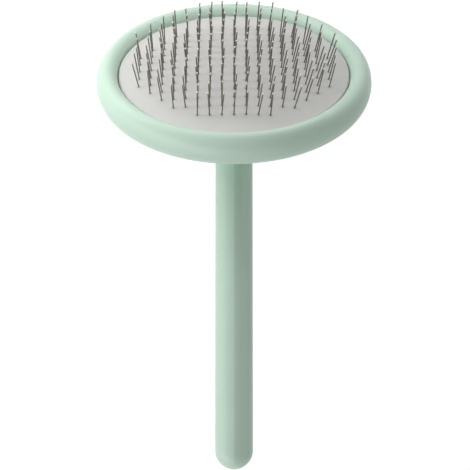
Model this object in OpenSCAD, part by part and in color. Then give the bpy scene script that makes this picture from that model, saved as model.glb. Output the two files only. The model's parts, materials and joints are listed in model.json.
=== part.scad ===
// Pet grooming brush: an oval pin head on a round handle that leaves its back at an angle.
// It lies at rest with the pins up, on the far edge of the rim and on the rounded end of the handle.
// Millimetres, +Z up, +Y away from the handle's end, origin under the middle of the whole brush.

/* [Rim] */
// Width of the head across the rim
head_w = 100; // [85:1:130]
// Depth of the head across the rim, in line with the handle
head_d = 87; // [75:1:120]
// Width of the rim from its crest to its outer edge
rim_out = 4.25; // [3.5:0.25:6]
// Width of the rim from its crest to its inner edge
rim_in = 3.5; // [3.25:0.25:4.5]
// Height of the rim's section
rim_h = 12.6; // [12.4:0.1:15]
// Drop from the rim's crest to its inner edge
rim_drop = 2.85; // [2.4:0.05:3]
// Wall of the hollow rim
rim_wall = 2.2; // [1.8:0.1:2.4]

/* [Snap bead] */
// Height of the bead that holds the rim on the shell
bead_h = 1.2; // [0.8:0.1:1.4]
// Depth of that bead
bead_d = 0.9; // [0.6:0.1:1.2]
// Clearance all round the bead
bead_gap = 0.1; // [0.05:0.05:0.2]

/* [Back shell] */
// Depth of the bowl below its straight wall
bowl_depth = 10; // [7:0.5:14]
// Wall of the bowl
shell_wall = 2.2; // [1.8:0.1:3]
// Height of the straight wall under the cushion's flange
shelf_h = 4.3; // [3.8:0.1:4.5]
// Gap between the rim and the shell at the parting line
part_gap = 0.25; // [0.1:0.05:0.4]

/* [Cushion] */
// Rise of the cushion's dome above the rim's inner edge
dome_rise = 4.25; // [2:0.25:7]
// Thickness of the cushion's rubber
cushion_t = 1.8; // [1.4:0.1:2.2]
// Thickness of the flange round the cushion's foot
flange_t = 1.6; // [1.2:0.1:1.8]
// Gap between the cushion and the rim's inner edge
cushion_gap = 0.3; // [0.2:0.05:0.5]

/* [Clamp ring] */
// Thickness of the ring that clamps the flange
clamp_t = 1.5; // [1.2:0.1:1.7]
// Clearance of the ring from the cushion's skirt and from the shell's edge
clamp_gap = 0.25; // [0.15:0.05:0.35]
// Number of clamp screws
clamp_screws_n = 8; // [6:1:12]
// Diameter of a clamp screw's shank
clamp_screw_d = 1.6; // [1.4:0.1:1.8]
// Length of a clamp screw's shank
clamp_screw_l = 5.5; // [4.5:0.5:6]
// Diameter of a clamp screw's head
clamp_head_d = 2.6; // [2.2:0.1:2.8]
// Height of a clamp screw's head
clamp_head_h = 0.6; // [0.4:0.1:0.8]

/* [Pins] */
// Number of pin columns
pin_cols = 17; // [11:2:21]
// Distance from the cushion's edge to the outermost column of pins
pin_margin_w = 7.9; // [5:0.1:12]
// Distance from the cushion's edge to the outermost row of pins
pin_margin_d = 10.8; // [8:0.1:14]
// Shift of the pin field towards the handle
pin_shift = 1.7; // [0:0.1:4]
// Diameter of a pin's wire
pin_d = 0.45; // [0.4:0.05:0.8]
// Diameter of the ball on a pin's tip
pin_ball_d = 0.8; // [0.6:0.05:1.2]
// Length of a pin from the cushion's face to the middle of its ball
pin_l = 11; // [7:0.1:13]
// Lean of the pins, as a multiple of the lean of the dome under them
pin_splay = 1; // [1:0.05:2]
// Sideways lean of all the pins, as a slope
pin_lean = 0.05; // [0:0.01:0.1]
// Unevenness of the pins' lean, as a slope
pin_scatter = 0.05; // [0:0.005:0.06]
// Diameter of the flat head under a pin
pin_head_d = 1.3; // [1:0.1:1.6]
// Thickness of that flat head
pin_head_t = 0.35; // [0.25:0.05:0.5]
// Clearance round a pin in the cushion
pin_fit = 0.03; // [0.02:0.01:0.05]

/* [Handle] */
// Angle of the handle below the plane of the rim
handle_angle = 42; // [30:1:55]
// Diameter of the handle
handle_d = 13.6; // [13:0.1:18]
// Length of the grip from the neck to the tip of its rounded end
handle_l = 111.5; // [85:0.5:145]
// Wall of the grip's half shells
handle_wall = 1.8; // [1.5:0.1:2.2]
// Distance from the neck's root, on the bowl, to the grip
neck_l = 12.5; // [10:0.5:18]
// Distance of the neck's root from the middle of the head, towards the handle
neck_back = 8; // [4:0.5:14]
// Distance that the neck widens on each side towards its root
neck_flare = 3; // [2:0.25:4]
// Distance that the neck's root reaches past the bowl's outside, along the handle
root_sink = 3; // [2:0.5:5]
// Gap between the neck and the grip
neck_gap = 0.2; // [0.1:0.05:0.3]

/* [Handle core] */
// Wall of the core tube
tube_wall = 1; // [0.8:0.1:1.5]
// Distance that the core tube stops short of the middle of the grip's rounded end
tube_short = 23; // [12:1:40]
// Clearance of the core tube in the grip and in the neck
tube_fit = 0.1; // [0.05:0.05:0.2]
// Depth of the tube's socket behind the neck's root
socket_back = 2; // [1:0.5:3]
// Thickness of the socket's floor
socket_floor = 3; // [2.5:0.5:4]
// Wall of the socket inside the bowl
socket_wall = 1.8; // [1.4:0.1:2]
// Length of that wall in front of the neck's root
socket_front = 3.5; // [3:0.5:5]
// Length of the threaded plug in the tube
plug_l = 12; // [10:0.5:16]
// Diameter of the neck screw's shank
neck_screw_d = 3; // [2.5:0.5:4]
// Length of the neck screw's shank
neck_screw_l = 13; // [10:0.5:14]
// Diameter of the neck screw's head
neck_head_d = 5.6; // [5:0.1:6.4]
// Height of the neck screw's head
neck_head_h = 1.8; // [1.4:0.1:2.2]
// Clearance of the screws in their holes
screw_fit = 0.05; // [0.03:0.01:0.1]
// Clearance of the neck screw's head in its pocket
pocket_fit = 0.2; // [0.1:0.05:0.4]
// Thickness of the rib that stops the tube's far end
stop_t = 2; // [1.5:0.5:3]
// Thickness of the web that joins the half shells near the end
web_t = 5; // [4:0.5:6]
// Diameter of the peg in that web
peg_d = 2.4; // [2:0.1:3]
// Length of the peg
peg_l = 3; // [2:0.1:3.4]
// Clearance round the peg and at its end
peg_fit = 0.1; // [0.05:0.05:0.2]

/* [Hidden] */

// Sides of a plain round, a small round, a pin, a large arc and a hexagon socket
$fn = 96;
small_fn = 32;
pin_fn = 16;
arc_fn = 360;
hex_fn = 6;

// A cut passes this far beyond the face that it opens
cut = 1;
pin_rows = 13;
row_middle = (pin_rows + 1) / 2;
col_middle = (pin_cols - 1) / 2;

// The head is drawn round in plan and then squeezed to its depth
squeeze = head_d / head_w;

// Rim: radius of the crest, half height, height and reach of the inner edge
crest_r = head_w / 2 - rim_out;
rim_half = rim_h / 2;
edge_r = crest_r - rim_in;
edge_z = rim_half - rim_drop;
rim_in_axis = rim_in / sqrt(1 - pow(edge_z / rim_half, 2));
hollow_half = rim_half - rim_wall;
bead_z = (rim_half + hollow_half) / 2;
bead_root = rim_wall / 4;

// Shell: outer wall, level of the bowl's edge and shelf, sphere of the bowl
shell_r = crest_r - part_gap;
bowl_z = -rim_half + part_gap;
shelf_z = bowl_z + shelf_h;
bowl_R = (pow(shell_r, 2) + pow(bowl_depth, 2)) / (2 * bowl_depth);
pole_z = bowl_z - bowl_depth;

// Cushion: radius, skirt, and the sphere of its dome
cushion_r = edge_r - cushion_gap;
skirt_r = cushion_r - cushion_t;
dome_R = (pow(cushion_r, 2) + pow(dome_rise, 2)) / (2 * dome_rise);
dome_z = edge_z + dome_rise - dome_R;
flange_top = shelf_z + flange_t;
flange_r = shell_r - clamp_gap;

// Clamp ring and its screws
clamp_in = cushion_r + clamp_gap;
clamp_top = flange_top + clamp_t;
screw_circle = (clamp_in + flange_r) / 2;

// Pin field
field_w = cushion_r - pin_margin_w;
field_d = cushion_r * squeeze - pin_margin_d;
col_pitch = field_w / col_middle;
row_pitch = field_d / (row_middle - 1);

// Steps of the waves that make the pins' lean uneven, from one column and one row to the next
wave_x = [137, 71];
wave_y = [97, -163];

// The head lies a little below the rubber, because a pin can lean more than the dome under it
lean_over = (pin_splay - 1) * cushion_r / (dome_R * squeeze) + norm([pin_lean + pin_scatter, pin_scatter]);
head_z = -cushion_t - pin_head_d / 2 * lean_over - pin_fit;

// Handle, measured along its axis from the neck's root on the bowl
handle_r = handle_d / 2;
bore_r = handle_r - handle_wall;
root_r = handle_r + neck_flare;
root_z = -root_r / tan(handle_angle) - root_sink;
flare_R = (pow(neck_l - root_z, 2) + pow(neck_flare, 2)) / (2 * neck_flare);
grip_start = neck_l + neck_gap;
grip_end = neck_l + handle_l - handle_r;
tube_r = bore_r - tube_fit;
tube_in = tube_r - tube_wall;
socket_z = -socket_back;
screw_seat = socket_z - socket_floor;
tube_end = grip_end - tube_short;
stop_z = tube_end + neck_gap;
web_z = stop_z + stop_t + web_t / 2;

// Rest: the tilt at which the rim's far edge and the handle's end touch one plane
end_y = -neck_back - grip_end * cos(handle_angle);
end_z = pole_z - grip_end * sin(handle_angle);
far_y = crest_r * squeeze;
far_a = rim_out * squeeze;

function rim_reach(a) =
    far_y * sin(a) + sqrt(pow(far_a * sin(a), 2) + pow(rim_half * cos(a), 2));
function end_reach(a) = end_y * sin(a) - end_z * cos(a) + handle_r;
function rest_angle(low, high, steps) =
    let (middle = (low + high) / 2)
    steps == 0 ? middle
    : rim_reach(middle) < end_reach(middle) ? rest_angle(middle, high, steps - 1)
    : rest_angle(low, middle, steps - 1);

tilt = rest_angle(0, 80, 40);
lift = rim_reach(tilt);
reach_far = far_y * cos(tilt) + sqrt(pow(far_a * cos(tilt), 2) + pow(rim_half * sin(tilt), 2));
reach_near = end_y * cos(tilt) + end_z * sin(tilt) - handle_r;
middle_y = (reach_far + reach_near) / 2;

mint = [0.72, 0.88, 0.80];
white = [0.86, 0.86, 0.85];
steel = [0.45, 0.45, 0.46];
zinc = [0.70, 0.71, 0.72];

// Places a piece drawn in the head's own frame where the resting brush holds it
module rest() {
    translate([0, -middle_y, lift]) rotate([-tilt, 0, 0]) children();
}

// Turns a section about the head's middle in four quarters, squeezed to the oval of the head
module turned() {
    for (a = [0 : 90 : 270])
        scale([1, squeeze, 1]) rotate([0, 0, a]) rotate_extrude(angle = 90) children();
}

// Stands a piece drawn along +Z on the handle's axis, with +Y on the handle's upper side
module on_axis() {
    translate([0, -neck_back, pole_z]) rotate([90 + handle_angle, 0, 0]) children();
}

module clamp_places() {
    for (i = [0 : clamp_screws_n - 1]) {
        a = (i + 0.5) * 360 / clamp_screws_n;
        translate([screw_circle * cos(a), squeeze * screw_circle * sin(a), 0]) children();
    }
}

// Half of an ellipse about the origin: side 1 is outside the crest, side -1 inside
module half_ellipse(a, b, side) {
    intersection() {
        scale([a, b]) circle(r = 1);
        translate([side > 0 ? 0 : -2 * a, -2 * b]) square([2 * a, 4 * b]);
    }
}

module rim_section() {
    difference() {
        half_ellipse(rim_out, rim_half, 1);
        half_ellipse(rim_out - rim_wall, hollow_half, 1);
    }
    intersection() {
        difference() {
            half_ellipse(rim_in_axis, rim_half, -1);
            half_ellipse(rim_in_axis, hollow_half, -1);
        }
        translate([-rim_in, 0]) square([rim_in, rim_half]);
    }
    translate([-bead_d, -bead_z - bead_h / 2]) square([bead_d + bead_root, bead_h]);
}

module rim_ring() {
    color(mint) rest() turned() translate([crest_r, 0]) rim_section();
}

// The solid outside of the shell
module shell_outside() {
    turned() {
        intersection() {
            translate([0, pole_z + bowl_R]) circle(r = bowl_R, $fn = arc_fn);
            translate([0, pole_z - cut]) square([shell_r, bowl_depth + cut]);
        }
        translate([0, bowl_z]) square([shell_r, shelf_h]);
    }
}

module shell_cavity() {
    turned() intersection() {
        translate([0, pole_z + bowl_R]) circle(r = bowl_R - shell_wall, $fn = arc_fn);
        translate([0, pole_z]) square([skirt_r, bowl_depth + shelf_h + 2 * root_r]);
    }
}

module bead_groove() {
    turned() translate([crest_r - bead_d - bead_gap, -bead_z - bead_h / 2 - bead_gap])
        square([bead_d + cut, bead_h + 2 * bead_gap]);
}

// The neck leaves the grip straight and widens in one arc towards its root
module neck_outside() {
    rotate_extrude() difference() {
        translate([0, root_z]) square([root_r, neck_l - root_z]);
        translate([handle_r + flare_R, neck_l]) circle(r = flare_R, $fn = arc_fn);
    }
}

module neck_holes() {
    translate([0, 0, socket_z]) cylinder(r = tube_r + tube_fit, h = neck_l - socket_z + cut);
    translate([0, 0, screw_seat - cut])
        cylinder(r = neck_screw_d / 2 + screw_fit, h = socket_floor + 2 * cut);
    translate([0, 0, root_z - cut])
        cylinder(r = neck_head_d / 2 + pocket_fit, h = screw_seat - root_z + cut);
}

module back_shell() {
    color(mint) rest() difference() {
        union() {
            difference() {
                union() {
                    shell_outside();
                    on_axis() neck_outside();
                }
                shell_cavity();
            }
            on_axis() translate([0, 0, screw_seat])
                cylinder(r = tube_r + tube_fit + socket_wall, h = socket_front - screw_seat);
        }
        on_axis() neck_holes();
        bead_groove();
        clamp_places() translate([0, 0, flange_top + clamp_t - clamp_screw_l])
            cylinder(r = clamp_screw_d / 2 + screw_fit, h = clamp_screw_l, $fn = small_fn);
    }
}

// A pin's place in the grid: column counted from the middle, row from 1 at the far side
function pin_x(col) = col * col_pitch;
function pin_y(row) = (row_middle - row) * row_pitch - pin_shift;
function dome_top(x, y) = dome_z + sqrt(pow(dome_R, 2) - pow(x, 2) - pow(y / squeeze, 2));
function slope_x(x) = pin_splay * x / dome_R;
function slope_y(y) = pin_splay * y / (dome_R * pow(squeeze, 2));
function uneven(a) = pin_scatter * sin(a);
function in_field(col, row) =
    pow(col / (pin_cols / 2), 2) + pow((row - row_middle) / (pin_rows / 2), 2) <= 1;

// Stands a piece drawn along +Z on the dome where a pin leaves it, leaning as the pin does
module pin_place(col, row) {
    x = pin_x(col);
    y = pin_y(row);
    lean_x = slope_x(x) + pin_lean + uneven(wave_x * [col, row]);
    lean_y = slope_y(y) + uneven(wave_y * [col, row]);
    translate([x, y, dome_top(x, y)])
        rotate([0, atan2(norm([lean_x, lean_y]), 1), atan2(lean_y, lean_x)])
            children();
}

module row_places(row) {
    for (col = [-col_middle : col_middle])
        if (in_field(col, row)) pin_place(col, row) children();
}

module pin() {
    translate([0, 0, head_z - pin_head_t / 2])
        cylinder(r = pin_d / 2, h = pin_l + pin_head_t / 2 - head_z, $fn = pin_fn);
    translate([0, 0, pin_l]) sphere(r = pin_ball_d / 2, $fn = pin_fn);
    translate([0, 0, head_z - pin_head_t]) cylinder(r = pin_head_d / 2, h = pin_head_t, $fn = pin_fn);
}

module pins_row(row) {
    color(steel) rest() row_places(row) pin();
}

module cushion_section() {
    intersection() {
        difference() {
            translate([0, dome_z]) circle(r = dome_R, $fn = 2 * arc_fn);
            intersection() {
                translate([0, dome_z]) circle(r = dome_R - cushion_t, $fn = 2 * arc_fn);
                translate([0, shelf_z - cut]) square([skirt_r, rim_h + dome_rise]);
            }
        }
        translate([0, shelf_z]) square([cushion_r, rim_h + dome_rise]);
    }
    translate([skirt_r, shelf_z]) square([flange_r - skirt_r, flange_t]);
}

module cushion() {
    color(white) rest() difference() {
        turned() cushion_section();
        for (row = [1 : pin_rows])
            row_places(row) translate([0, 0, -2 * cushion_t])
                cylinder(r = pin_d / 2 + pin_fit, h = 3 * cushion_t, $fn = pin_fn);
        clamp_places() translate([0, 0, shelf_z - cut])
            cylinder(r = clamp_screw_d / 2 + screw_fit, h = flange_t + 2 * cut, $fn = small_fn);
    }
}

module clamp_ring() {
    color(zinc) rest() difference() {
        turned() translate([clamp_in, flange_top]) square([flange_r - clamp_in, clamp_t]);
        clamp_places() translate([0, 0, flange_top - cut])
            cylinder(r = clamp_screw_d / 2 + screw_fit, h = clamp_t + 2 * cut, $fn = small_fn);
    }
}

module clamp_screws() {
    color(zinc) rest() clamp_places() {
        translate([0, 0, clamp_top - clamp_screw_l])
            cylinder(r = clamp_screw_d / 2, h = clamp_screw_l + clamp_head_h / 2, $fn = small_fn);
        difference() {
            translate([0, 0, clamp_top]) cylinder(r = clamp_head_d / 2, h = clamp_head_h, $fn = small_fn);
            translate([0, 0, clamp_top + clamp_head_h / 2])
                cylinder(r = clamp_screw_d / 2, h = clamp_head_h, $fn = hex_fn);
        }
    }
}

// The whole grip before it is split down the middle
module grip() {
    difference() {
        union() {
            translate([0, 0, grip_start]) cylinder(r = handle_r, h = grip_end - grip_start);
            translate([0, 0, grip_end]) sphere(r = handle_r);
        }
        translate([0, 0, grip_start - cut]) cylinder(r = bore_r, h = stop_z - grip_start + cut);
        translate([0, 0, stop_z - cut]) cylinder(r = tube_in, h = stop_t + 2 * cut);
        translate([0, 0, web_z + web_t / 2])
            cylinder(r = bore_r, h = grip_end - web_z - web_t / 2);
        translate([0, 0, grip_end]) sphere(r = bore_r);
    }
}

module half_space(side) {
    translate([side > 0 ? 0 : -handle_d, -handle_d, 0])
        cube([handle_d, 2 * handle_d, neck_l + handle_l + cut]);
}

module handle_left() {
    color(mint) rest() on_axis() {
        intersection() {
            grip();
            half_space(-1);
        }
        translate([-peg_d / 2, 0, web_z]) rotate([0, 90, 0])
            cylinder(r = peg_d / 2, h = peg_l + peg_d / 2, $fn = small_fn);
    }
}

module handle_right() {
    color(mint) rest() on_axis() difference() {
        intersection() {
            grip();
            half_space(1);
        }
        translate([-cut, 0, web_z]) rotate([0, 90, 0])
            cylinder(r = peg_d / 2 + peg_fit, h = peg_l + peg_fit + cut, $fn = small_fn);
    }
}

module core_tube() {
    color(steel) rest() on_axis() translate([0, 0, socket_z]) difference() {
        cylinder(r = tube_r, h = tube_end - socket_z);
        translate([0, 0, -cut]) cylinder(r = tube_in, h = tube_end - socket_z + 2 * cut);
    }
}

module tube_plug() {
    color(zinc) rest() on_axis() translate([0, 0, socket_z]) difference() {
        cylinder(r = tube_in - screw_fit, h = plug_l);
        translate([0, 0, -cut])
            cylinder(r = neck_screw_d / 2 + screw_fit, h = plug_l + 2 * cut);
    }
}

module neck_screw() {
    color(zinc) rest() on_axis() difference() {
        union() {
            translate([0, 0, screw_seat]) cylinder(r = neck_screw_d / 2, h = neck_screw_l);
            translate([0, 0, screw_seat - neck_head_h])
                cylinder(r = neck_head_d / 2, h = neck_head_h);
        }
        translate([0, 0, screw_seat - neck_head_h - cut])
            cylinder(r = neck_screw_d / 2, h = neck_head_h / 2 + cut, $fn = hex_fn);
    }
}

module pins_row_01() { pins_row(1); }
module pins_row_02() { pins_row(2); }
module pins_row_03() { pins_row(3); }
module pins_row_04() { pins_row(4); }
module pins_row_05() { pins_row(5); }
module pins_row_06() { pins_row(6); }
module pins_row_07() { pins_row(7); }
module pins_row_08() { pins_row(8); }
module pins_row_09() { pins_row(9); }
module pins_row_10() { pins_row(10); }
module pins_row_11() { pins_row(11); }
module pins_row_12() { pins_row(12); }
module pins_row_13() { pins_row(13); }

rim_ring();
back_shell();
cushion();
clamp_ring();
clamp_screws();
pins_row_01();
pins_row_02();
pins_row_03();
pins_row_04();
pins_row_05();
pins_row_06();
pins_row_07();
pins_row_08();
pins_row_09();
pins_row_10();
pins_row_11();
pins_row_12();
pins_row_13();
handle_left();
handle_right();
core_tube();
tube_plug();
neck_screw();
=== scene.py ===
import json
import math
import bpy
import bmesh
import numpy as np
from mathutils import Matrix, Vector
from mathutils.geometry import delaunay_2d_cdt


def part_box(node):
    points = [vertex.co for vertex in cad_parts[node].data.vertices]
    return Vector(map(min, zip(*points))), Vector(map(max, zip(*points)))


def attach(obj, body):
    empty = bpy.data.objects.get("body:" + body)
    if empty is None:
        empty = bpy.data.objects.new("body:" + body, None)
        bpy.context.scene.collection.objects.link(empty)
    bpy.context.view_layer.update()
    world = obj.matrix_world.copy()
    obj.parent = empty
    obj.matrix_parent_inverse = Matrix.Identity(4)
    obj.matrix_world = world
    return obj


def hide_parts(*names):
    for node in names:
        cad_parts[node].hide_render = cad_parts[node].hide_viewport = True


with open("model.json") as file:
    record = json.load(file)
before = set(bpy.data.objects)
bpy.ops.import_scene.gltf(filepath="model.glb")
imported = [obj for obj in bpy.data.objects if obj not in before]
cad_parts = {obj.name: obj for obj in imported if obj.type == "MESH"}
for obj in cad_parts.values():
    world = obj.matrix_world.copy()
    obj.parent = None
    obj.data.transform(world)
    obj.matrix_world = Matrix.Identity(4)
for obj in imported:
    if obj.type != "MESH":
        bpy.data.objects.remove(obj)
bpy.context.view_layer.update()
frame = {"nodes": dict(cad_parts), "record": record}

# Pet grooming brush on a white floor: an oval pin head, its rubber cushion, and a round handle.
# Sizes are in millimetres, as in the part's source, and meshes are scaled to metres as they are made.

MM = 0.001

# Rim
HEAD_W = 100.0
HEAD_D = 87.0
RIM_OUT = 4.25
RIM_IN = 3.5
RIM_HALF = 6.3
RIM_DROP = 2.85
RIM_WALL = 2.2
BEAD_H = 1.2
BEAD_D = 0.9

# Back shell
BOWL_DEPTH = 10.0
SHELL_WALL = 2.2
SHELF_H = 4.3
PART_GAP = 0.25
BEAD_GAP = 0.1
SCREWS = 8
SCREW_R = 0.8
SCREW_L = 5.5
SCREW_FIT = 0.05
CLAMP_T = 1.5

# Cushion
DOME_RISE = 4.25
CUSHION_T = 1.8
FLANGE_T = 1.6
CUSHION_GAP = 0.3
FLANGE_GAP = 0.25

# Pins
COLUMNS = 17
ROWS = 13
MARGIN_W = 7.9
MARGIN_D = 10.8
PIN_SHIFT = 1.7
PIN_L = 11.0
PIN_SPLAY = 1.0
PIN_LEAN = 0.05

# Handle
HANDLE_ANGLE = math.radians(42)
HANDLE_R = 6.8
HANDLE_WALL = 1.8
NECK_L = 12.5
NECK_BACK = 8.0
NECK_FLARE = 3.0
ROOT_SINK = 3.0
NECK_GAP = 0.2
HANDLE_L = 111.5
TUBE_SHORT = 23.0
TUBE_FIT = 0.1
TUBE_WALL = 1.0
STOP_T = 2.0
WEB_T = 5.0
SOCKET_BACK = 2.0
SOCKET_FLOOR = 3.0
SOCKET_WALL = 1.8
SOCKET_FRONT = 3.5
NECK_SCREW_R = 1.5
POCKET_R = 3.0

# What follows from these sizes
SQUEEZE = HEAD_D / HEAD_W
CREST_R = HEAD_W / 2 - RIM_OUT
EDGE_R = CREST_R - RIM_IN
EDGE_Z = RIM_HALF - RIM_DROP
SHELL_R = CREST_R - PART_GAP
BOWL_Z = -RIM_HALF + PART_GAP
SHELF_Z = BOWL_Z + SHELF_H
POLE_Z = BOWL_Z - BOWL_DEPTH
BOWL_R = (SHELL_R ** 2 + BOWL_DEPTH ** 2) / (2 * BOWL_DEPTH)
CUSHION_R = EDGE_R - CUSHION_GAP
SKIRT_R = CUSHION_R - CUSHION_T
DOME_R = (CUSHION_R ** 2 + DOME_RISE ** 2) / (2 * DOME_RISE)
DOME_Z = EDGE_Z + DOME_RISE - DOME_R
FLANGE_TOP = SHELF_Z + FLANGE_T
FLANGE_R = SHELL_R - FLANGE_GAP
GRIP_START = NECK_L + NECK_GAP
GRIP_END = NECK_L + HANDLE_L - HANDLE_R
BORE_R = HANDLE_R - HANDLE_WALL
TUBE_R = BORE_R - TUBE_FIT
TUBE_IN = TUBE_R - TUBE_WALL
ROOT_R = HANDLE_R + NECK_FLARE
ROOT_Z = -ROOT_R / math.tan(HANDLE_ANGLE) - ROOT_SINK
FLARE_R = ((NECK_L - ROOT_Z) ** 2 + NECK_FLARE ** 2) / (2 * NECK_FLARE)
SCREW_SEAT = -SOCKET_BACK - SOCKET_FLOOR
CLAMP_IN = CUSHION_R + FLANGE_GAP
SEAT_R = TUBE_R + TUBE_FIT
BEAD_Z = -(2 * RIM_HALF - RIM_WALL) / 2
STOP_Z = GRIP_END - TUBE_SHORT + NECK_GAP

# The head's own frame stands tilted about the middle of the rim, and the handle's on its axis below it
rim_low, rim_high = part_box("rim_ring")
grip_axis = Vector(frame["record"]["mounts"][0]["axis"])
TILT = HANDLE_ANGLE - math.asin(-grip_axis.z)
HEAD_TO_ROW = (Matrix.Translation((rim_low + rim_high) / 2) @ Matrix.Rotation(-TILT, 4, "X")
               @ Matrix.Scale(MM, 4))
AXIS_TO_HEAD = (Matrix.Translation((0, -NECK_BACK, POLE_Z))
                @ Matrix.Rotation(math.pi / 2 + HANDLE_ANGLE, 4, "X"))

# Edges that turn by more degrees than this stay sharp, and points closer than WELD become one
SHARP_DEG = 35
CUSHION_SHARP_DEG = 50
WELD = 1e-7


def shade(mesh, sharp_deg=SHARP_DEG):
    """Smooth shading, but for the sharp edges"""
    mesh.shade_smooth()
    mesh.set_sharp_from_angle(angle=math.radians(sharp_deg))


def show(name, mesh):
    """A mesh as an object of the scene"""
    piece = bpy.data.objects.new(name, mesh)
    bpy.context.scene.collection.objects.link(piece)
    return piece


def face_out(mesh, weld=False):
    """Turns all faces outwards, and joins the points that coincide where weld is set"""
    clean = bmesh.new()
    clean.from_mesh(mesh)
    if weld:
        bmesh.ops.remove_doubles(clean, verts=clean.verts, dist=WELD)
    bmesh.ops.recalc_face_normals(clean, faces=clean.faces)
    clean.to_mesh(mesh)
    clean.free()


def make_object(name, points, faces, to_row):
    """A smooth mesh object from points in millimetres"""
    mesh = bpy.data.meshes.new(name)
    mesh.from_pydata([to_row @ Vector(p) for p in points], [], faces)
    face_out(mesh, weld=True)
    shade(mesh)
    return show(name, mesh)


def arc(centre, a, b, start, end, steps):
    """Points of an elliptic arc, from the angle start to the angle end in degrees"""
    return [(centre[0] + a * math.cos(math.radians(t)), centre[1] + b * math.sin(math.radians(t)))
            for t in np.linspace(start, end, steps)]


def line(start, end, steps):
    """Points of a straight stretch, without its two ends"""
    return [tuple(p) for p in np.linspace(start, end, steps + 1)[1:-1]]


def turned(profile, count, closed=True):
    """A profile of (radius, height) turned about Z and squeezed to the oval of the head"""
    points = []
    for k in range(count):
        a = 2 * math.pi * k / count
        points += [(r * math.cos(a), SQUEEZE * r * math.sin(a), z) for r, z in profile]
    n = len(profile)
    last = n if closed else n - 1
    faces = [(k * n + i, (k + 1) % count * n + i, (k + 1) % count * n + (i + 1) % n, k * n + (i + 1) % n)
             for k in range(count) for i in range(last)]
    return points, faces


# Rim: a hollow C-shaped section with a bead at its foot. Its inner slope stops LIP_STOP degrees from the lip

RIM_TURNS = 360
LIP_SOFT = 0.45
LIP_STOP = 4


def rim_profile():
    """Closed section in (radius, height): the outside, the inner slope, the lip, the hollow and the bead"""
    inner_axis = RIM_IN / math.sqrt(1 - (EDGE_Z / RIM_HALF) ** 2)
    hollow = RIM_HALF - RIM_WALL
    edge_angle = math.degrees(math.asin(EDGE_Z / RIM_HALF))
    hollow_angle = math.degrees(math.acos(RIM_IN / inner_axis))
    section = arc((0, 0), RIM_OUT, RIM_HALF, -90, 90, steps=49)
    section += arc((0, 0), inner_axis, RIM_HALF, 90, 180 - edge_angle - LIP_STOP, steps=22)[1:]
    section += arc((-RIM_IN + LIP_SOFT, EDGE_Z - LIP_SOFT), LIP_SOFT, LIP_SOFT, 135, 180, steps=6)
    section += arc((0, 0), inner_axis, hollow, 180 - hollow_angle, 90, steps=12)
    section += arc((0, 0), RIM_OUT - RIM_WALL, hollow, 90, -90, steps=17)[1:]
    section += [(0, BEAD_Z + BEAD_H / 2), (-BEAD_D, BEAD_Z + BEAD_H / 2),
                (-BEAD_D, BEAD_Z - BEAD_H / 2), (0, BEAD_Z - BEAD_H / 2)]
    return [(CREST_R + u, z) for u, z in section]


def make_rim():
    points, faces = turned(rim_profile(), RIM_TURNS)
    rim = make_object("rim", points, faces, HEAD_TO_ROW)
    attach(rim, "root")
    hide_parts("rim_ring")
    return rim


# Back shell: the bowl and the neck run into each other in a soft hollow, where the solid has a crease.
# Tools that cut it go CUT past the surface

BLEND = 5.0
SKIN_TURNS = 288
NECK_STEPS = 34
BOWL_STEPS = 44
RELAX_ROUNDS = 24
SKIN_ROUNDS = 4
FOOT_ROUNDS = 30
SLOPE_STEP = 1e-3
SOFT_EDGE = 0.3
CUT = 1.0
CUT_TURNS = 240
BORE_SIDES = 96
HOLE_SIDES = 24
NEAR_POLE = 89.9
HUB_R = 0.1
COS_H, SIN_H = math.cos(HANDLE_ANGLE), math.sin(HANDLE_ANGLE)


def from_ball(x, y, z):
    """Distance from the middle of the bowl's ball"""
    return np.sqrt(x ** 2 + (y / SQUEEZE) ** 2 + (z - POLE_Z - BOWL_R) ** 2)


def skin_level(p):
    """Smooth union of bowl and neck over an array of points: 0 on the skin, negative inside"""
    x, y, z = p[..., 0], p[..., 1], p[..., 2]
    bowl = from_ball(x, y, z) - BOWL_R
    along = -(y + NECK_BACK) * COS_H - (z - POLE_Z) * SIN_H
    across = -(y + NECK_BACK) * SIN_H + (z - POLE_Z) * COS_H
    waist = np.clip(NECK_L - along, 0, NECK_L - ROOT_Z)
    neck = np.hypot(x, across) - (HANDLE_R + FLARE_R - np.sqrt(FLARE_R ** 2 - waist ** 2))
    mixed = np.maximum(BLEND - np.abs(bowl - neck), 0) / BLEND
    return np.minimum(bowl, neck) - mixed ** 2 * BLEND / 4


def to_skin(p):
    """Moves the points onto the skin along its slope"""
    for _ in range(SKIN_ROUNDS):
        level = skin_level(p)
        slope = np.stack([(skin_level(p + SLOPE_STEP * axis) - skin_level(p - SLOPE_STEP * axis))
                          / (2 * SLOPE_STEP) for axis in np.eye(3)], axis=-1)
        p = p - (level / (slope ** 2).sum(-1))[..., None] * slope
    return p


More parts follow.
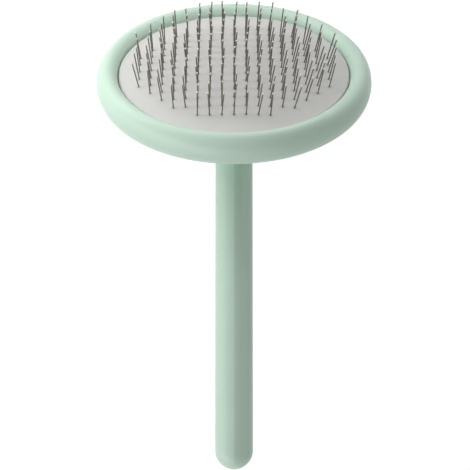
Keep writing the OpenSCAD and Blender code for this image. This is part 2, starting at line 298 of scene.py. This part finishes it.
def back_skin():
    """Closed skin: rows of points from the neck's end over the hollow to the bowl's edge and the shelf"""
    turn = 2 * math.pi * np.arange(SKIN_TURNS) / SKIN_TURNS
    side, rise = np.cos(turn), np.sin(turn)

    def on_axis(radius, along):
        across = radius * rise
        return np.stack([radius * side, -NECK_BACK - along * COS_H - across * SIN_H,
                         POLE_Z - along * SIN_H + across * COS_H], axis=-1)

    def on_bowl(x, y):
        depth = np.sqrt(BOWL_R ** 2 - x ** 2 - (y / SQUEEZE) ** 2)
        return np.stack([x, y, POLE_Z + BOWL_R - depth], axis=-1)

    start = NECK_L - SOFT_EDGE
    low, high = np.full(SKIN_TURNS, ROOT_Z), np.full(SKIN_TURNS, start)
    for _ in range(FOOT_ROUNDS):
        middle = (low + high) / 2
        p = on_axis(HANDLE_R, middle)
        inside = from_ball(p[:, 0], p[:, 1], p[:, 2]) < BOWL_R
        low, high = np.where(inside, middle, low), np.where(inside, high, middle)
    foot = on_axis(HANDLE_R, low)
    rows = [on_axis(HANDLE_R, start + (low - start) * i / NECK_STEPS) for i in range(NECK_STEPS)]
    edge = (SHELL_R * side, -SQUEEZE * SHELL_R * rise)
    for i in range(BOWL_STEPS + 1):
        f = i / BOWL_STEPS
        rows.append(on_bowl(foot[:, 0] * (1 - f) + edge[0] * f, foot[:, 1] * (1 - f) + edge[1] * f))
    skin = np.stack(rows, axis=1)
    for _ in range(RELAX_ROUNDS):
        skin[:, 1:-1] = to_skin((skin[:, :-2] + 2 * skin[:, 1:-1] + skin[:, 2:]) / 4)
    corner = [on_axis(HANDLE_R - SOFT_EDGE * (1 - math.cos(a)), start + SOFT_EDGE * math.sin(a))
              for a in (math.pi / 2, math.pi / 3, math.pi / 6)]
    shelf = np.stack([edge[0], edge[1], np.full(SKIN_TURNS, SHELF_Z)], axis=-1)
    skin = np.concatenate([np.stack(corner, axis=1), skin, shelf[:, None]], axis=1)
    n = skin.shape[1]
    faces = [(k * n + i, k * n + i + 1, (k + 1) % SKIN_TURNS * n + i + 1, (k + 1) % SKIN_TURNS * n + i)
             for k in range(SKIN_TURNS) for i in range(n - 1)]
    faces.append(tuple(k * n for k in range(SKIN_TURNS)))
    faces.append(tuple(k * n + n - 1 for k in reversed(range(SKIN_TURNS))))
    return skin.reshape(-1, 3).tolist(), faces


def round_bar(profile, place, count):
    """A profile of (radius, height) turned about Z and placed by a matrix, closed at both ends"""
    turns = [2 * math.pi * k / count for k in range(count)]
    points = [place @ Vector((r * math.cos(a), r * math.sin(a), z)) for a in turns for r, z in profile]
    n = len(profile)
    faces = [(k * n + i, (k + 1) % count * n + i, (k + 1) % count * n + i + 1, k * n + i + 1)
             for k in range(count) for i in range(n - 1)]
    faces += [tuple(k * n for k in reversed(range(count))), tuple(k * n + n - 1 for k in range(count))]
    return [tuple(p) for p in points], faces


def put_together(shapes):
    """One list of points and one of faces from several"""
    points, faces = [], []
    for more_points, more_faces in shapes:
        faces += [tuple(len(points) + i for i in face) for face in more_faces]
        points += list(more_points)
    return points, faces


def combine(piece, shape, operation):
    """Joins a shape to the piece or cuts it away, as the operation says"""
    tool = make_object("tool", *shape, Matrix.Identity(4))
    change = piece.modifiers.new("combine", "BOOLEAN")
    change.operation = operation
    change.solver = "EXACT"
    change.object = tool
    result = bpy.data.meshes.new_from_object(piece.evaluated_get(bpy.context.evaluated_depsgraph_get()))
    piece.modifiers.clear()
    old, piece.data = piece.data, result
    bpy.data.meshes.remove(old)
    bpy.data.meshes.remove(tool.data)


def make_back():
    """The skin with a cavity, the tube's boss and bore, the groove for the rim's bead, and the screw holes"""
    cavity_r = BOWL_R - SHELL_WALL
    lid = POLE_Z + BOWL_DEPTH + SHELF_H + 2 * ROOT_R
    outline = arc((0, POLE_Z + BOWL_R), cavity_r, cavity_r,
                  -NEAR_POLE, -math.degrees(math.acos(SKIRT_R / cavity_r)), steps=30)
    outline += [(SKIRT_R, lid), (HUB_R, lid)]
    n = len(outline)
    points, faces = turned(outline, CUT_TURNS, closed=False)
    faces.append(tuple(k * n for k in range(CUT_TURNS)))
    faces.append(tuple(k * n + n - 1 for k in reversed(range(CUT_TURNS))))
    boss_r = SEAT_R + SOCKET_WALL
    boss = round_bar([(boss_r, SCREW_SEAT), (boss_r, SOCKET_FRONT)], AXIS_TO_HEAD, BORE_SIDES)
    screw_r = NECK_SCREW_R + SCREW_FIT
    bore = round_bar([(POCKET_R, ROOT_Z - CUT), (POCKET_R, SCREW_SEAT), (screw_r, SCREW_SEAT),
                      (screw_r, -SOCKET_BACK), (SEAT_R, -SOCKET_BACK), (SEAT_R, NECK_L + CUT)],
                     AXIS_TO_HEAD, BORE_SIDES)
    groove_r = CREST_R - BEAD_D - BEAD_GAP
    outer_r = groove_r + BEAD_D + CUT
    half = BEAD_H / 2 + BEAD_GAP
    groove = turned([(groove_r, BEAD_Z - half), (outer_r, BEAD_Z - half),
                     (outer_r, BEAD_Z + half), (groove_r, BEAD_Z + half)], CUT_TURNS)
    circle = (CLAMP_IN + FLANGE_R) / 2
    bottom = FLANGE_TOP + CLAMP_T - SCREW_L
    turns = [2 * math.pi * (i + 0.5) / SCREWS for i in range(SCREWS)]
    hole_r = SCREW_R + SCREW_FIT
    places = [Matrix.Translation((circle * math.cos(a), SQUEEZE * circle * math.sin(a), 0)) for a in turns]
    holes = [round_bar([(hole_r, bottom), (hole_r, SHELF_Z + CUT)], place, HOLE_SIDES) for place in places]
    back = make_object("back", *back_skin(), Matrix.Identity(4))
    combine(back, (points, faces), "DIFFERENCE")
    combine(back, boss, "UNION")
    combine(back, put_together([bore, groove] + holes), "DIFFERENCE")
    back.data.transform(HEAD_TO_ROW)
    shade(back.data)
    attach(back, "root")
    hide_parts("back_shell")
    return back


# Pin field, as the part's source lays it out

def dome_top(x, y):
    """Height of the rubber's outer face"""
    return DOME_Z + math.sqrt(DOME_R ** 2 - x ** 2 - (y / SQUEEZE) ** 2)


def inner_top(x, y):
    """Height of the rubber's inner face"""
    return DOME_Z + math.sqrt((DOME_R - CUSHION_T) ** 2 - x ** 2 - (y / SQUEEZE) ** 2)


def lean(x, y):
    """How far a pin moves sideways for each millimetre of its height"""
    return (PIN_SPLAY * x / DOME_R + PIN_LEAN, PIN_SPLAY * y / (DOME_R * SQUEEZE ** 2))


def pin_feet():
    """Where the pins leave the rubber, row by row"""
    middle_col = (COLUMNS - 1) // 2
    middle_row = (ROWS + 1) / 2
    pitch_x = (CUSHION_R - MARGIN_W) / middle_col
    pitch_y = (CUSHION_R * SQUEEZE - MARGIN_D) / (middle_row - 1)
    return [(col * pitch_x, (middle_row - row) * pitch_y - PIN_SHIFT)
            for row in range(1, ROWS + 1) for col in range(-middle_col, middle_col + 1)
            if (col / (COLUMNS / 2)) ** 2 + ((row - middle_row) / (ROWS / 2)) ** 2 <= 1]


# Cushion: its face is a net of triangles with a small hole and a dimple round each pin

HOLE_R = 0.3
DIMPLE_RINGS = (HOLE_R, 0.4, 0.54, 0.74, 1.03)
DIMPLE_SIDES = 14
DIMPLE_DEPTH = 0.15
DIMPLE_REACH = 0.3
FACE_R = 38.0
FACE_SIDES = 240

# Net of points between the dimples: its rows lie closer than the points in a row, and it stays clear of the
# dimples by NET_CLEAR and of the face's edge by a share of its pitch
NET_PITCH = 1.25
NET_ROW = 0.87
NET_EDGE = 0.7
NET_CLEAR = 0.45

# What the triangulation is asked for: the triangles inside the border, and points nearer than this as one
INSIDE_BORDER = 1
SAME_POINT = 1e-6


def face_net(feet):
    """Flat points and triangles of the cushion's face, with the points round each pin and on the border"""
    flat = []
    per_pin = len(DIMPLE_RINGS) * DIMPLE_SIDES
    for x, y in feet:
        for k, r in enumerate(DIMPLE_RINGS):
            turn = math.pi / DIMPLE_SIDES * (k % 2)
            flat += [(x + r * math.cos(turn + 2 * math.pi * i / DIMPLE_SIDES),
                      y + r * math.sin(turn + 2 * math.pi * i / DIMPLE_SIDES)) for i in range(DIMPLE_SIDES)]
    rim_start = len(flat)
    for i in range(FACE_SIDES):
        a = 2 * math.pi * i / FACE_SIDES
        flat.append((FACE_R * math.cos(a), FACE_R * SQUEEZE * math.sin(a)))
    steps = int(FACE_R / NET_PITCH) + 1
    pins = np.array(feet)
    for j in range(-steps, steps + 1):
        for i in range(-steps, steps + 1):
            x, y = (i + 0.5 * (j % 2)) * NET_PITCH, j * NET_PITCH * NET_ROW
            inside = math.hypot(x, y / SQUEEZE) < FACE_R - NET_EDGE * NET_PITCH
            if inside and np.hypot(pins[:, 0] - x, pins[:, 1] - y).min() > DIMPLE_RINGS[-1] + NET_CLEAR:
                flat.append((x, y))
    edge = [(rim_start + i, rim_start + (i + 1) % FACE_SIDES) for i in range(FACE_SIDES)]
    found, _, triangles, origin, _, _ = delaunay_2d_cdt([Vector(p) for p in flat], edge, [],
                                                        INSIDE_BORDER, SAME_POINT)
    place = {}
    for new, olds in enumerate(origin):
        for old in olds:
            place[old] = new
    rings = [[place[n * per_pin + i] for i in range(DIMPLE_SIDES)] for n in range(len(feet))]
    hole = {point: n for n, ring in enumerate(rings) for point in ring}
    kept = [t for t in triangles if not (t[0] in hole and hole.get(t[1]) == hole[t[0]]
                                         and hole.get(t[2]) == hole[t[0]])]
    border = [place[rim_start + i] for i in range(FACE_SIDES)]
    return [(p.x, p.y) for p in found], kept, rings, border


def cushion_flank():
    """Profile from the face's edge over the shoulder, skirt and flange and back up inside"""
    shoulder = 1.0
    top = arc((0, DOME_Z), DOME_R, DOME_R, 90 - math.degrees(math.asin(FACE_R / DOME_R)),
              90 - math.degrees(math.asin((CUSHION_R - shoulder) / DOME_R)), steps=6)[1:]
    shoulder_z = top[-1][1] - shoulder
    top += arc((CUSHION_R - shoulder, shoulder_z), shoulder, shoulder, 90, 0, steps=8)[1:]
    inner = arc((0, DOME_Z), DOME_R - CUSHION_T, DOME_R - CUSHION_T,
                90 - math.degrees(math.asin(SKIRT_R / (DOME_R - CUSHION_T))),
                90 - math.degrees(math.asin(FACE_R / (DOME_R - CUSHION_T))), steps=4)
    return (top + [(CUSHION_R, FLANGE_TOP), (FLANGE_R, FLANGE_TOP), (FLANGE_R, SHELF_Z), (SKIRT_R, SHELF_Z)]
            + inner[:-1])


def make_cushion():
    """The rubber with its dimples and holes. A value on each point, 1 at a hole, darkens the colour there:
    painted shade
    """
    feet = pin_feet()
    flat, triangles, rings, border = face_net(feet)
    pins = np.array(feet)
    top, bottom, nearness = [], [], []
    for x, y in flat:
        away = np.hypot(pins[:, 0] - x, pins[:, 1] - y).min() - HOLE_R
        near = math.exp(-max(away, 0) / DIMPLE_REACH)
        nearness.append(near)
        top.append((x, y, dome_top(x, y) - DIMPLE_DEPTH * near))
        across, along = lean(x, y)
        inner_x, inner_y = x - across * CUSHION_T, y - along * CUSHION_T
        bottom.append((inner_x, inner_y, inner_top(inner_x, inner_y)))
    n = len(flat)
    points = top + bottom
    faces = [tuple(t) for t in triangles] + [tuple(n + i for i in reversed(t)) for t in triangles]
    for ring in rings:
        faces += [(a, b, n + b, n + a) for a, b in zip(ring, ring[1:] + ring[:1])]
    profile = cushion_flank()
    m = len(profile)
    for i in range(FACE_SIDES):
        a = 2 * math.pi * i / FACE_SIDES
        points += [(r * math.cos(a), SQUEEZE * r * math.sin(a), z) for r, z in profile]
    for i in range(FACE_SIDES):
        j = (i + 1) % FACE_SIDES
        mine, next_one = 2 * n + i * m, 2 * n + j * m
        faces.append((border[i], mine, next_one, border[j]))
        faces += [(mine + k, mine + k + 1, next_one + k + 1, next_one + k) for k in range(m - 1)]
        faces.append((mine + m - 1, n + border[i], n + border[j], next_one + m - 1))
    mesh = bpy.data.meshes.new("pin_cushion")
    mesh.from_pydata([HEAD_TO_ROW @ Vector(p) for p in points], [], faces)
    pin_hole_shade = mesh.attributes.new("pin_hole_shade", "FLOAT", "POINT")
    pin_hole_shade.data.foreach_set("value", nearness + [0.0] * (len(points) - n))
    face_out(mesh)
    shade(mesh, CUSHION_SHARP_DEG)
    piece = show("pin_cushion", mesh)
    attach(piece, "root")
    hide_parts("cushion")
    return piece


# Handle: two half shells whose outside rises to a low keel along the parting line

KEEL_H = 0.16
KEEL_REACH = 1.6
HALF_STEPS = 64
GRIP_SOFT = 0.3


def grip_profile():
    """Closed section of the grip in (radius, height along the axis); the flag is true on the outside skin"""
    skin = [(HANDLE_R - GRIP_SOFT, GRIP_START)]
    skin += arc((HANDLE_R - GRIP_SOFT, GRIP_START + GRIP_SOFT), GRIP_SOFT, GRIP_SOFT, -90, 0, steps=4)[1:]
    skin += line((HANDLE_R, GRIP_START + GRIP_SOFT), (HANDLE_R, GRIP_END), steps=60)
    skin += arc((0, GRIP_END), HANDLE_R, HANDLE_R, 0, 90, steps=28)
    web_low = STOP_Z + STOP_T + CUT
    web_high = STOP_Z + STOP_T + WEB_T
    inside = arc((0, GRIP_END), BORE_R, BORE_R, 90, 0, steps=8)
    inside += [(BORE_R, web_high), (0, web_high), (0, web_low), (TUBE_IN, web_low), (TUBE_IN, STOP_Z),
               (BORE_R, STOP_Z), (BORE_R, GRIP_START)]
    return [(r, z, True) for r, z in skin] + [(r, z, False) for r, z in inside]


def make_handle(side, name, node):
    """One half shell of the grip: side is -1 for the left one, 1 for the right one"""
    section = grip_profile()
    points = []
    for k in range(HALF_STEPS + 1):
        a = -math.pi / 2 + math.pi * k / HALF_STEPS
        for r, z, is_skin in section:
            to_seam = r * (math.pi / 2 - abs(a))
            raised = r
            if is_skin and r > 0:
                raised = r + KEEL_H * math.exp(-to_seam / KEEL_REACH) * min(1, r / HANDLE_R)
            points.append((side * raised * math.cos(a), raised * math.sin(a), z))
    n = len(section)
    faces = [(k * n + i, k * n + (i + 1) % n, (k + 1) * n + (i + 1) % n, (k + 1) * n + i)
             for k in range(HALF_STEPS) for i in range(n)]
    faces.append(tuple(range(n)))
    faces.append(tuple(HALF_STEPS * n + i for i in reversed(range(n))))
    half = make_object(name, points, faces, HEAD_TO_ROW @ AXIS_TO_HEAD)
    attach(half, "root")
    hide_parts(node)
    return half


# Materials

# Between these values lies most of a noise
NOISE_LOW = 0.3
NOISE_HIGH = 0.7

# Colours, linear
MINT = (0.552, 0.722, 0.607)
RUBBER = (0.605, 0.602, 0.585)
WIRE = (0.23, 0.215, 0.185)
TIP = (0.42, 0.41, 0.38)
ZINC = (0.6, 0.61, 0.63)

# Share of the rubber's colour that is left at a pin's hole, where shade is painted
HOLE_SHADE = 0.75

# The polish starts and is full this far below the highest reach of the pins
POLISH_START = 0.6
POLISH_FULL = 0.35


def new_material(name, color, roughness, metallic=0.0):
    material = bpy.data.materials.new(name)
    material.use_nodes = True
    nodes = material.node_tree.nodes
    shader = nodes["Principled BSDF"]
    shader.inputs["Base Color"].default_value = (*color, 1)
    shader.inputs["Roughness"].default_value = roughness
    shader.inputs["Metallic"].default_value = metallic
    return material, nodes, material.node_tree.links, shader


def noise(nodes, links, scale, detail=2.0):
    """A noise over the object's own coordinates, in cells a metre"""
    place = nodes.new("ShaderNodeTexCoord")
    field = nodes.new("ShaderNodeTexNoise")
    field.inputs["Scale"].default_value = scale
    field.inputs["Detail"].default_value = detail
    links.new(place.outputs["Object"], field.inputs["Vector"])
    return field


def vary(nodes, links, field, low, high):
    """The noise brought from its usual spread to the range from low to high"""
    span = nodes.new("ShaderNodeMapRange")
    span.inputs["From Min"].default_value = NOISE_LOW
    span.inputs["From Max"].default_value = NOISE_HIGH
    span.inputs["To Min"].default_value = low
    span.inputs["To Max"].default_value = high
    links.new(field.outputs["Fac"], span.inputs["Value"])
    return span.outputs["Result"]


def vary_gloss(nodes, links, shader, scale, low, high):
    """A roughness that wanders between low and high"""
    links.new(vary(nodes, links, noise(nodes, links, scale), low, high), shader.inputs["Roughness"])


def around(color, spread):
    """The colour made darker and lighter by a share"""
    return tuple(c * (1 - spread) for c in color), tuple(c * (1 + spread) for c in color)


def add_grain(nodes, links, shader, scale, height):
    """A fine bump of that height in metres"""
    bump = nodes.new("ShaderNodeBump")
    bump.inputs["Strength"].default_value = 1.0
    bump.inputs["Distance"].default_value = height
    links.new(noise(nodes, links, scale, detail=3.0).outputs["Fac"], bump.inputs["Height"])
    links.new(bump.outputs["Normal"], shader.inputs["Normal"])


def mix_color(nodes, links, factor, low, high):
    """A colour between two, each of them a colour or a socket"""
    mix = nodes.new("ShaderNodeMix")
    mix.data_type = "RGBA"
    links.new(factor, mix.inputs["Factor"])
    for socket, color in (("A", low), ("B", high)):
        target = [s for s in mix.inputs if s.name == socket and s.type == "RGBA"][0]
        if isinstance(color, tuple):
            target.default_value = (*color, 1)
        else:
            links.new(color, target)
    return [s for s in mix.outputs if s.type == "RGBA"][0]


def mint_plastic():
    material, nodes, links, shader = new_material("mint_plastic", MINT, roughness=0.42)
    cloud = vary(nodes, links, noise(nodes, links, scale=45), low=0, high=1)
    dark, light = around(MINT, 0.02)
    links.new(mix_color(nodes, links, cloud, dark, light), shader.inputs["Base Color"])
    vary_gloss(nodes, links, shader, scale=900, low=0.38, high=0.46)
    add_grain(nodes, links, shader, scale=5000, height=0.000004)
    return material


def white_rubber():
    material, nodes, links, shader = new_material("white_rubber", RUBBER, roughness=0.5)
    cloud = vary(nodes, links, noise(nodes, links, scale=60), low=0.98, high=1.02)
    face = nodes.new("ShaderNodeVectorMath")
    face.operation = "SCALE"
    face.inputs[0].default_value = RUBBER
    links.new(cloud, face.inputs["Scale"])
    # Painted shade: the rubber's colour darkens towards each pin's hole
    near = nodes.new("ShaderNodeAttribute")
    near.attribute_name = "pin_hole_shade"
    dark = tuple(c * HOLE_SHADE for c in RUBBER)
    links.new(mix_color(nodes, links, near.outputs["Fac"], face.outputs["Vector"], dark),
              shader.inputs["Base Color"])
    vary_gloss(nodes, links, shader, scale=700, low=0.46, high=0.54)
    add_grain(nodes, links, shader, scale=3500, height=0.000005)
    return material


def near_tip(nodes, links):
    """1 on the pins' ball tips, 0 below them, from the distance to the middle of the dome's ball"""
    place = nodes.new("ShaderNodeTexCoord")
    head = nodes.new("ShaderNodeMapping")
    head.inputs["Scale"].default_value = (1 / MM, 1 / MM, 1 / MM)
    head.inputs["Rotation"].default_value = (TILT, 0, 0)
    origin = Matrix.Rotation(TILT, 3, "X") @ (HEAD_TO_ROW.translation / MM)
    head.inputs["Location"].default_value = -origin
    links.new(place.outputs["Object"], head.inputs["Vector"])
    ball = nodes.new("ShaderNodeMapping")
    ball.inputs["Scale"].default_value = (1, 1 / SQUEEZE, 1)
    ball.inputs["Location"].default_value = (0, 0, -DOME_Z)
    links.new(head.outputs["Vector"], ball.inputs["Vector"])
    reach = nodes.new("ShaderNodeVectorMath")
    reach.operation = "LENGTH"
    links.new(ball.outputs["Vector"], reach.inputs[0])
    mask = nodes.new("ShaderNodeMapRange")
    mask.inputs["From Min"].default_value = DOME_R + PIN_L - POLISH_START
    mask.inputs["From Max"].default_value = DOME_R + PIN_L - POLISH_FULL
    links.new(reach.outputs["Value"], mask.inputs["Value"])
    return mask.outputs["Result"]


def pin_steel():
    material, nodes, links, shader = new_material("pin_steel", WIRE, roughness=0.3, metallic=1.0)
    cloud = vary(nodes, links, noise(nodes, links, scale=400), low=0, high=1)
    dark, light = around(WIRE, 0.15)
    wire = mix_color(nodes, links, cloud, dark, light)
    links.new(mix_color(nodes, links, near_tip(nodes, links), wire, TIP), shader.inputs["Base Color"])
    vary_gloss(nodes, links, shader, scale=2500, low=0.22, high=0.36)
    return material


def zinc_steel():
    material, nodes, links, shader = new_material("zinc_steel", ZINC, roughness=0.35, metallic=1.0)
    vary_gloss(nodes, links, shader, scale=800, low=0.28, high=0.42)
    add_grain(nodes, links, shader, scale=4000, height=0.000003)
    return material


def paint(piece, material):
    """Puts the material in all slots of the piece"""
    slots = piece.data.materials
    if len(slots) == 0:
        slots.append(material)
    for i in range(len(slots)):
        slots[i] = material


# Floor, light and camera. The floor and the world light the scene less than they seem to. What the camera
# sees of the floor is a glow and a weak diffuse part, which carries the shadow

FLOOR_REACH = 3.0
FLOOR_LIT = (0.8, 0.8, 0.8, 1)
FLOOR_SEEN = (0.15, 0.15, 0.15, 1)
FLOOR_GLOW = 0.95
WORLD_LIT = 0.06
WORLD_SEEN = 1.0
WHITE = (1, 1, 1, 1)


def seen_directly(nodes, links):
    """1 for camera, glossy and transmission rays"""
    path = nodes.new("ShaderNodeLightPath")
    total = path.outputs["Is Camera Ray"]
    for kind in ("Is Glossy Ray", "Is Transmission Ray"):
        add = nodes.new("ShaderNodeMath")
        add.operation = "MAXIMUM"
        links.new(total, add.inputs[0])
        links.new(path.outputs[kind], add.inputs[1])
        total = add.outputs[0]
    return total


def split_rays(nodes, links, lit, seen, output):
    """The first shader lights the scene, the second is what the camera, metal and glass see"""
    mix = nodes.new("ShaderNodeMixShader")
    links.new(seen_directly(nodes, links), mix.inputs[0])
    links.new(lit.outputs[0], mix.inputs[1])
    links.new(seen.outputs[0], mix.inputs[2])
    links.new(mix.outputs[0], nodes[output].inputs["Surface"])


def make_floor():
    mesh = bpy.data.meshes.new("floor")
    reach = FLOOR_REACH
    mesh.from_pydata([(-reach, -reach, 0), (reach, -reach, 0), (reach, reach, 0), (-reach, reach, 0)], [],
                     [(0, 1, 2, 3)])
    floor = show("floor", mesh)
    material = bpy.data.materials.new("floor_white")
    material.use_nodes = True
    nodes, links = material.node_tree.nodes, material.node_tree.links
    nodes.remove(nodes["Principled BSDF"])
    lit = nodes.new("ShaderNodeBsdfDiffuse")
    lit.inputs["Color"].default_value = FLOOR_LIT
    shadowed = nodes.new("ShaderNodeBsdfDiffuse")
    shadowed.inputs["Color"].default_value = FLOOR_SEEN
    glow = nodes.new("ShaderNodeEmission")
    glow.inputs["Strength"].default_value = FLOOR_GLOW
    seen = nodes.new("ShaderNodeAddShader")
    links.new(shadowed.outputs[0], seen.inputs[0])
    links.new(glow.outputs[0], seen.inputs[1])
    split_rays(nodes, links, lit, seen, "Material Output")
    paint(floor, material)


def make_world():
    world = bpy.data.worlds.new("studio")
    bpy.context.scene.world = world
    world.use_nodes = True
    nodes, links = world.node_tree.nodes, world.node_tree.links
    lit = nodes["Background"]
    lit.inputs["Color"].default_value = WHITE
    lit.inputs["Strength"].default_value = WORLD_LIT
    seen = nodes.new("ShaderNodeBackground")
    seen.inputs["Color"].default_value = WHITE
    seen.inputs["Strength"].default_value = WORLD_SEEN
    split_rays(nodes, links, lit, seen, "World Output")


# Name, place, width and height in metres and watts of each lamp; all are oval and face the head
HEAD_CENTRE = (0, 0.0509, 0.0286)
LAMPS = (("near_left", (-0.15, 0.1755, 0.1588), 0.28, 0.28, 0.47),
         ("near_back", (-0.05, 0.2788, 0.2187), 0.3, 0.2, 0.18),
         ("top_front", (-0.15, -0.4, 0.9), 1.0, 1.0, 1.1),
         ("low_left", (-0.7, -0.7085, 0.2179), 1.8, 0.4, 6.3),
         ("left", (-1.0, -0.0144, 0.3214), 1.8, 0.5, 1.2),
         ("front", (0, -1.0013, 0.1526), 1.3, 0.3, 0.8),
         ("back_right", (0.7, 0.6688, 0.4738), 1.8, 0.6, 3.0),
         ("right", (1.0, -0.0144, 0.3214), 1.8, 0.5, 1.1))


def make_lamp(name, place, width, height, power):
    """An oval lamp that lights the scene and isn't seen itself"""
    lamp = bpy.data.lights.new(name, "AREA")
    lamp.shape = "ELLIPSE"
    lamp.size = width
    lamp.size_y = height
    lamp.energy = power
    holder = bpy.data.objects.new(name, lamp)
    holder.location = place
    holder.rotation_euler = (Vector(HEAD_CENTRE) - Vector(place)).to_track_quat("-Z", "Y").to_euler()
    holder.visible_camera = False
    bpy.context.scene.collection.objects.link(holder)


# The camera looks down on the head from the handle's side, VIEW_ANGLE above the plane of its face. It aims
# VIEW_DROP below the head's middle and VIEW_SIDE to the right of it
VIEW_ANGLE = math.radians(42)
VIEW_DISTANCE = 546.6
VIEW_DROP = 56.5
VIEW_SIDE = 0.35
VIEW_LENS = 114.9
SENSOR_W = 36
CLIP_START = 0.01


def make_camera():
    up = Vector((0, math.sin(VIEW_ANGLE), math.cos(VIEW_ANGLE)))
    forward = Vector((0, math.cos(VIEW_ANGLE), -math.sin(VIEW_ANGLE)))
    place = Vector((VIEW_SIDE, 0, 0)) - VIEW_DROP * up - VIEW_DISTANCE * forward
    data = bpy.data.cameras.new("camera")
    data.lens = VIEW_LENS
    data.sensor_width = SENSOR_W
    data.clip_start = CLIP_START
    camera = bpy.data.objects.new("camera", data)
    camera.location = HEAD_TO_ROW @ place
    camera.rotation_euler = (math.pi / 2 - VIEW_ANGLE - TILT, 0, 0)
    bpy.context.scene.collection.objects.link(camera)
    bpy.context.scene.camera = camera


# Solids that scene.py only paints
PIN_ROWS = tuple("pins_row_%02d" % row for row in range(1, ROWS + 1))
ZINC_PARTS = ("clamp_ring", "clamp_screws", "core_tube", "tube_plug", "neck_screw")


def main():
    make_camera()
    make_floor()
    make_world()
    for lamp in LAMPS:
        make_lamp(*lamp)
    mint = mint_plastic()
    steel = pin_steel()
    zinc = zinc_steel()
    for piece in (make_rim(), make_handle(-1, "grip_left", "handle_left"),
                  make_handle(1, "grip_right", "handle_right"), make_back()):
        paint(piece, mint)
    paint(make_cushion(), white_rubber())
    for name, node in frame["nodes"].items():
        if name in PIN_ROWS:
            paint(node, steel)
        elif name in ZINC_PARTS:
            paint(node, zinc)
    bpy.context.scene.view_settings.view_transform = "Standard"


main()
